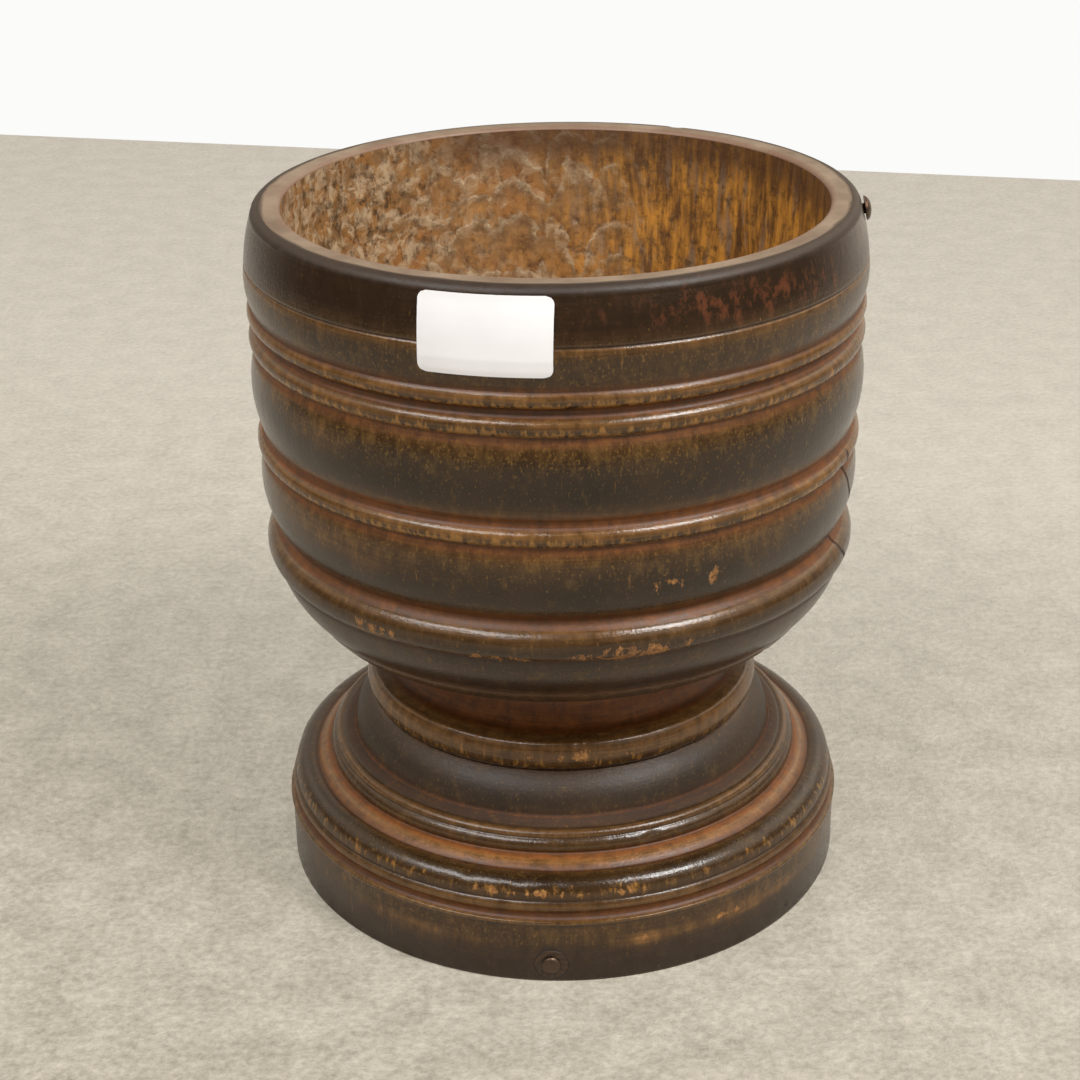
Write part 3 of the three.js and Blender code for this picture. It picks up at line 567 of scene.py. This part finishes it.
def bands(loops, sides, first=0):
    """The faces between loops of points, from the first to the one numbered loops."""
    starts = [(first + loop * sides, i, (i + 1) % sides) for loop in range(loops) for i in range(sides)]
    return [(base + i, base + after, base + after + sides, base + i + sides) for base, i, after in starts]


def cutter(name, width, start, end, place, sides=48, taper=1.0):
    """A closed cylinder along Y between two depths, in millimetres."""
    corners = []
    for depth, share in ((start, 1), (end, taper)):
        corners += [(width / 2 * share * math.cos(t), depth, width / 2 * share * math.sin(t))
                    for t in circle(sides)]
    ends = [tuple(range(sides))[::-1], tuple(range(sides, 2 * sides))]
    made = bpy.data.meshes.new(name)
    made.from_pydata([place @ (Vector(p) * MM) for p in corners], [], bands(1, sides) + ends)
    made.update()
    return new_object(name, made)


# The block is bored for the plug in the foot band, and an old nail hole stands open to the right of it
PLUG_SEAT = {"angle": -3.2, "out": FOOT_RADIUS, "z": 8.3}
OPEN_HOLE_SEAT = {"angle": 50.5, "out": FOOT_RADIUS, "z": 5.6}
bore = cutter("bore", width=14.0, start=-3, end=18.3, place=seat(**PLUG_SEAT))
open_hole = cutter("open_hole", width=2.6, start=-3, end=9, place=seat(**OPEN_HOLE_SEAT), sides=16, taper=0.6)
for tool in (bore, open_hole):
    boring = block.modifiers.new("boring", "BOOLEAN")
    boring.operation = "DIFFERENCE"
    boring.solver = "EXACT"
    boring.object = tool
bored = bpy.data.meshes.new_from_object(block.evaluated_get(bpy.context.evaluated_depsgraph_get()))
block.modifiers.clear()
block.data = bored
for tool in (bore, open_hole):
    bpy.data.objects.remove(tool)
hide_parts("turned_body")
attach(block, "root")


# ---- The plug in the foot ----
# A round plug of the same wood, let into the foot band where a fault was bored out. Its end grain faces out,
# and a dark line of old glue and dirt rings it.
PLUG_WIDTH = 13.6
PLUG_LENGTH = 17.7
PLUG_SIDES = 64
MIDDLE_SUNK = 0.25
profile = [(0.30, 0.22), (0.55, 0.16), (0.75, 0.10), (0.88, 0.06), (0.96, 0.08), (0.99, 0.2), (1.0, 0.5),
           (1.0, PLUG_LENGTH)]  # share of the radius, and depth
corners = []
for share, depth in profile:
    for t in circle(PLUG_SIDES):
        x, up = PLUG_WIDTH / 2 * share * math.cos(t), PLUG_WIDTH / 2 * share * math.sin(t)
        sag = 0 if depth == PLUG_LENGTH else FOOT_RADIUS - math.sqrt(FOOT_RADIUS**2 - x**2)
        corners.append((x, depth + sag, up))
front, back, last = len(corners), len(corners) + 1, len(corners) - PLUG_SIDES
corners += [(0, MIDDLE_SUNK, 0), (0, PLUG_LENGTH, 0)]
faces = bands(len(profile) - 1, PLUG_SIDES)
for i in range(PLUG_SIDES):
    after = (i + 1) % PLUG_SIDES
    faces += [(front, after, i), (back, last + i, last + after)]
plug_mesh = bpy.data.meshes.new("end_grain_plug")
# It is driven in hard against the right of its bore
place = seat(**PLUG_SEAT) @ Matrix.Translation((0.14 * MM, 0, 0.06 * MM))
plug_mesh.from_pydata([place @ (Vector(p) * MM) for p in corners], [], faces)
plug_mesh.polygons.foreach_set("use_smooth", np.ones(len(faces), bool))
plug_mesh.update()
plug = new_object("end_grain_plug", plug_mesh)

# Waxed end grain: growth rings 2.6 mm apart, browner than the skin round it, with pores 1 mm across.
ringed_grain = bpy.data.materials.new("waxed_end_grain")
tree = emptied(ringed_grain)
where = add(tree, "TexCoord").outputs["Object"]
off_centre = place @ Vector((0.004, 0, -0.005))
centred = add(tree, "VectorMath", {0: where, 1: off_centre}, operation="SUBTRACT")
growth = add(tree, "TexWave", {"Vector": centred, "Scale": 120, "Distortion": 1.5, "Detail": 2},
             wave_type="RINGS", rings_direction="Y").outputs["Fac"]
specks = add(tree, "TexNoise", {"Vector": where, "Scale": 900, "Detail": 3, "Roughness": 0.6})
colour = add(tree, "Mix", {0: growth, 6: linear("#291b10"), 7: linear("#402a17")}, data_type="RGBA")
dust = add(tree, "MapRange", {0: specks, 1: 0.60, 2: 0.76, 3: 0, 4: 0.6})
colour = add(tree, "Mix", {0: dust, 6: colour, 7: linear("#6a4826")}, data_type="RGBA")
bump = add(tree, "Bump", {"Height": specks, "Strength": 0.5, "Distance": 0.0004})
shader = add(tree, "BsdfPrincipled", {"Base Color": colour, "Roughness": 0.4, "Normal": bump, "IOR": 1.5})
add(tree, "OutputMaterial", {"Surface": shader})
plug_mesh.materials.append(ringed_grain)
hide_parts("foot_plug")
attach(plug, "root")


# ---- The nails ----
# Two hand-forged iron nails, one through the middle of the plug and one in the rim band at the right: a domed
# head, hammered to a few soft facets, over a square tapering shank driven into the wood.

# Forged iron: brown-black and half bright, with scale and rust in marks 2 mm across.
forged = bpy.data.materials.new("forged_iron")
tree = emptied(forged)
where = add(tree, "TexCoord").outputs["Object"]
scale_marks = add(tree, "TexNoise", {"Vector": where, "Scale": 500, "Detail": 4, "Roughness": 0.6})
rust = add(tree, "MapRange", {0: scale_marks, 1: 0.52, 2: 0.7})
colour = add(tree, "Mix", {0: rust, 6: linear("#55473a"), 7: linear("#5d4030")}, data_type="RGBA")
rough = add(tree, "MapRange", {0: scale_marks, 1: 0.3, 2: 0.7, 3: 0.28, 4: 0.45})
bump = add(tree, "Bump", {"Height": scale_marks, "Strength": 0.6, "Distance": 0.0004})
shader = add(tree, "BsdfPrincipled", {"Base Color": colour, "Metallic": 0.75, "Roughness": rough,
                                      "Normal": bump})
add(tree, "OutputMaterial", {"Surface": shader})

RIM_LEAN = math.atan2(126.4 - 122.8, 19.7)  # the rim band narrows by 3.6 mm in 19.7
HEAD_SIDES, HEAD_LOOPS = 48, 12
TIP_SHARE = 0.175  # half the tip's width, as a share of the shank's whole width
nails = (
    ("foot_nail", {**PLUG_SEAT, "out": 122.6}, 0.0, 7.6, 1.8, 3.2, 38.0, 3),
    ("rim_nail", {"angle": 87.0, "out": 124.4, "z": 289.8}, RIM_LEAN, 10.0, 2.4, 3.6, 9.0, 11),
)
for node_name, spot, lean, width, dome, shank, length, seed in nails:
    dice = np.random.default_rng(seed)
    facets = [(dice.uniform(0, 2 * math.pi), dice.uniform(0.25, 0.75)) for _ in range(5)]
    corners = []
    for loop in range(HEAD_LOOPS + 1):
        climb = math.pi / 2 * loop / HEAD_LOOPS
        for t in circle(HEAD_SIDES):
            out = width / 2 * (1 + 0.03 * math.sin(3 * t + seed)) * math.cos(climb)
            lift = dome * (0.2 + 0.8 * math.sin(climb))
            x, up = out * math.cos(t), out * math.sin(t)
            for turn_of, reach in facets:  # each hammers down what lies beyond its line
                beyond = x * math.cos(turn_of) + up * math.sin(turn_of) - reach * width / 2 * 0.8
                lift -= 0.10 * max(0.0, beyond)
            corners.append((x, -max(lift, 0.15), up))
    faces = bands(HEAD_LOOPS, HEAD_SIDES)
    seam = len(corners)  # the flat underside of the head
    corners += [(width / 2 * math.cos(t), 0, width / 2 * math.sin(t)) for t in circle(HEAD_SIDES)]
    for i in range(HEAD_SIDES):
        after = (i + 1) % HEAD_SIDES
        faces.append((seam + after, after, i, seam + i))
    faces.append(tuple(range(seam, seam + HEAD_SIDES)))
    start = len(corners)
    for y, half in ((0.0, shank / 2), (length, shank * TIP_SHARE)):
        corners += [(-half, y, -half), (half, y, -half), (half, y, half), (-half, y, half)]
    faces += bands(1, 4, first=start)
    faces += [(start + 3, start + 2, start + 1, start), (start + 4, start + 5, start + 6, start + 7)]
    nail_mesh = bpy.data.meshes.new("forged_" + node_name)
    place = seat(**spot) @ Matrix.Rotation(-lean, 4, "X")
    nail_mesh.from_pydata([place @ (Vector(p) * MM) for p in corners], [], faces)
    nail_mesh.polygons.foreach_set("use_smooth", np.ones(len(faces), bool))
    nail_mesh.validate()
    nail_mesh.update()
    nail_mesh.materials.append(forged)
    nail = new_object("forged_" + node_name, nail_mesh)
    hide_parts(node_name)
    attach(nail, "root")


# ---- The label ----
# A plain white self-adhesive paper label, 50 by 29 mm with round corners, pressed on by hand across the
# scribed line. It is drawn taut, and lifts slightly at its top edge and at its right one.
LABEL = {"width": 50.0, "height": 29.2, "corner": 3.2, "angle": -12.5, "z": 278.8, "thickness": 0.2}
GLUE = 0.08  # how far the paper's back stands off the wood
TOP_LIFT, RIGHT_LIFT, LIFT_REACH = 0.15, 0.05, 1.6
under_z = np.linspace(LABEL["z"] - LABEL["height"] / 2, LABEL["z"] + LABEL["height"] / 2, 40)
under_r = np.interp(under_z, outline[underside_end:rim_start, 1], outline[underside_end:rim_start, 0])


def behind_label(z):
    """The radius that the paper's back lies on, drawn taut over the wood and bridging the scribed line."""
    best = np.interp(z, under_z, under_r)
    for low in range(len(under_z)):
        for high in range(low + 1, len(under_z)):
            if under_z[low] <= z <= under_z[high]:
                share = (z - under_z[low]) / (under_z[high] - under_z[low])
                best = max(best, under_r[low] + share * (under_r[high] - under_r[low]))
    return best + GLUE


columns, rows = 72, 44
label_outer, label_inner = [], []
for row in range(rows + 1):
    v = LABEL["height"] * (row / rows - 0.5)
    past = max(0.0, abs(v) - (LABEL["height"] / 2 - LABEL["corner"]))
    half = LABEL["width"] / 2 - LABEL["corner"] + math.sqrt(max(0.0, LABEL["corner"]**2 - past**2))
    z = LABEL["z"] + v
    under = behind_label(z)
    for column in range(columns + 1):
        u = half * (2 * column / columns - 1)
        lift = RIGHT_LIFT * math.exp(-((LABEL["width"] / 2 - u) / LIFT_REACH)**2)
        lift += TOP_LIFT * math.exp(-((LABEL["height"] / 2 - v) / LIFT_REACH)**2)
        angle = math.radians(LABEL["angle"]) + u / under
        for loop, r in ((label_outer, under + LABEL["thickness"] + lift), (label_inner, under + lift)):
            loop.append((r * math.sin(angle), -r * math.cos(angle), z))
span = columns + 1
faces = []
for row in range(rows):
    for column in range(columns):
        a = row * span + column
        faces.append((a, a + 1, a + 1 + span, a + span))
back = len(label_outer)
faces += [tuple(back + i for i in reversed(face)) for face in faces]
edge = list(range(columns)) + [row * span + columns for row in range(rows)]
edge += [rows * span + columns - column for column in range(columns)]
edge += [(rows - row) * span for row in range(rows)]
faces += [(a + back, b + back, b, a) for a, b in zip(edge, edge[1:] + edge[:1])]
label_mesh = bpy.data.meshes.new("plain_label")
label_mesh.from_pydata([(x * MM, y * MM, z * MM) for x, y, z in label_outer + label_inner], [], faces)
label_mesh.polygons.foreach_set("use_smooth", np.ones(len(faces), bool))
label_mesh.update()
label_mesh.set_sharp_from_angle(angle=math.radians(40))
label = new_object("plain_label", label_mesh)

# Coated paper: neutral white with a slight satin, and fibres 0.5 mm long that only just show.
paper = bpy.data.materials.new("coated_paper")
tree = emptied(paper)
where = add(tree, "TexCoord").outputs["Object"]
fibres = add(tree, "TexNoise", {"Vector": where, "Scale": 2000, "Detail": 3})
clouds = add(tree, "TexNoise", {"Vector": where, "Scale": 60, "Detail": 2})
colour = add(tree, "Mix", {0: clouds, 6: linear("#dddad9"), 7: linear("#e8e5e4")}, data_type="RGBA")
bump = add(tree, "Bump", {"Height": fibres, "Strength": 0.3, "Distance": 0.00005})
shader = add(tree, "BsdfPrincipled", {"Base Color": colour, "Roughness": 0.45, "Normal": bump, "IOR": 1.5})
add(tree, "OutputMaterial", {"Surface": shader})
label_mesh.materials.append(paper)
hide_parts("paper_label")
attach(label, "root")


# ---- Floor, light and camera ----
# A pale tufted floor in front of plain white, and two soft lights in front, a wide one to the left and a
# smaller one to the right.
floor_mesh = bpy.data.meshes.new("floor")
floor_corners = [(-1.6, -1.6, 0), (1.6, -1.6, 0), (1.6, 0.825, 0), (-1.6, 1.574, 0)]  # metres
floor_mesh.from_pydata(floor_corners, [], [(0, 1, 2, 3)])
floor = new_object("floor", floor_mesh)

# Short pale pile: matt tufts 4 mm across, trodden in patches of 20 mm, and painted lighter further back and
# to the right, where more light falls. The camera sees part of its colour unlit, which keeps it pale.
pile = bpy.data.materials.new("pale_floor")
tree = emptied(pile)
where = add(tree, "TexCoord").outputs["Object"]
tufts = add(tree, "TexNoise", {"Vector": where, "Scale": 250, "Detail": 5, "Roughness": 0.7})
trodden = add(tree, "TexNoise", {"Vector": where, "Scale": 45, "Detail": 4, "Roughness": 0.6})
tone = add(tree, "Math", {0: trodden, 1: 0.6, 2: tufts}, operation="MULTIPLY_ADD")
tone = add(tree, "MapRange", {0: tone, 1: 0.56, 2: 1.04})
colour = add(tree, "Mix", {0: tone, 6: linear("#9a917f"), 7: linear("#d2c8b6")}, data_type="RGBA")
along = add(tree, "SeparateXYZ", {0: where}).outputs
# Painted light: the floor's colour lightens further back and to the right
painted_far_light = add(tree, "Math", {0: along[0], 1: 0.4, 2: along[1]}, operation="MULTIPLY_ADD")
painted_far_light = add(tree, "MapRange", {0: painted_far_light, 1: -0.3, 2: 0.5, 3: 0, 4: 0.5})
colour = add(tree, "Mix", {0: painted_far_light, 6: colour, 7: linear("#ece3d5")}, data_type="RGBA")
bump = add(tree, "Bump", {"Height": tufts, "Strength": 0.7, "Distance": 0.004})
shader = add(tree, "BsdfPrincipled", {"Base Color": colour, "Roughness": 0.9, "Normal": bump})
glow = add(tree, "Emission", {"Color": colour, "Strength": 1.0})
path = add(tree, "LightPath").outputs
seen = add(tree, "Math", {0: path["Is Camera Ray"], 1: 0.45}, operation="MULTIPLY")
both = add(tree, "MixShader", {0: seen, 1: shader, 2: glow})
add(tree, "OutputMaterial", {"Surface": both})
floor_mesh.materials.append(pile)

# The camera sees white all round. Gloss sees the white wall behind the object, and a warm, dimmer room in
# front of it, dimmest on the left, with a bright window high on the right and a duller one high on the left.
world = bpy.data.worlds.new("studio")
tree = emptied(world)
path = add(tree, "LightPath").outputs
way = add(tree, "SeparateXYZ", {0: add(tree, "TexCoord").outputs["Generated"]}).outputs
room = add(tree, "MapRange", {0: way[1], 1: 0.2, 2: 0.75, 3: 0.14, 4: 0.85})
to_left = add(tree, "MapRange", {0: way[0], 1: -0.6, 2: 0.4, 3: 0.55, 4: 1.0})
room = add(tree, "Math", {0: room, 1: to_left}, operation="MULTIPLY")
high = add(tree, "MapRange", {0: way[2], 1: 0.25, 2: 0.5})
for start, end, bright in ((0.25, 0.6, 1.5), (-0.3, -0.6, 0.8)):
    window = add(tree, "MapRange", {0: way[0], 1: start, 2: end, 3: 0, 4: bright})
    room = add(tree, "Math", {0: window, 1: high, 2: room}, operation="MULTIPLY_ADD")
fill = add(tree, "MapRange", {0: way[0], 1: -0.6, 2: 0.4, 3: 0.42, 4: 0.58})
unseen = add(tree, "Mix", {0: path["Is Glossy Ray"], 2: fill, 3: room})
seen = add(tree, "Math", {0: path["Is Camera Ray"], 1: path["Is Transmission Ray"]}, operation="MAXIMUM")
strength = add(tree, "Mix", {0: seen, 2: unseen, 3: 1.0})
tint = add(tree, "Mix", {0: path["Is Glossy Ray"], 6: linear("#fbfbfa"), 7: linear("#fff0dc")},
           data_type="RGBA")
sky = add(tree, "Background", {"Color": tint, "Strength": strength})
add(tree, "OutputWorld", {"Surface": sky})
bpy.context.scene.world = world

LAMP_CLIMB = math.radians(50)
LAMP_FAR = 2.2  # metres from the point that the lamps face
AIM_HEIGHT = 0.15
for name, side, size, power in (("left_light", -46, 1.6, 30), ("right_light", 52, 0.75, 38)):
    lamp = bpy.data.lights.new(name, "AREA")
    lamp.shape = "RECTANGLE"
    lamp.size, lamp.size_y = size, 0.6
    lamp.energy = power
    light = new_object(name, lamp)
    angle = math.radians(side)
    level_far = LAMP_FAR * math.cos(LAMP_CLIMB)
    at = Vector((level_far * math.sin(angle), -level_far * math.cos(angle),
                 LAMP_FAR * math.sin(LAMP_CLIMB) + AIM_HEIGHT))
    facing = (at - Vector((0, 0, AIM_HEIGHT))).to_track_quat("Z", "Y").to_matrix().to_4x4()
    light.matrix_world = Matrix.Translation(at) @ facing

# The camera stands 0.83 m in front of the axis and 0.52 m up, looking down, with a 70 mm lens
CAMERA_PLACE = Vector((-8.394, -825.44, 524.75)) * MM
lens = bpy.data.cameras.new("camera")
lens.lens = 70
lens.sensor_width = 36
lens.clip_end = 20
camera = new_object("camera", lens)
sideways = Vector((0.99986, -0.0071, -0.01536)).normalized()
up = Vector((0.0169, 0.4201, 0.9072))
up = (up - sideways * up.dot(sideways)).normalized()
facing = Matrix((sideways, up, sideways.cross(up))).transposed().to_4x4()
camera.matrix_world = Matrix.Translation(CAMERA_PLACE) @ facing
bpy.context.scene.camera = camera
bpy.context.scene.view_settings.view_transform = "Standard"
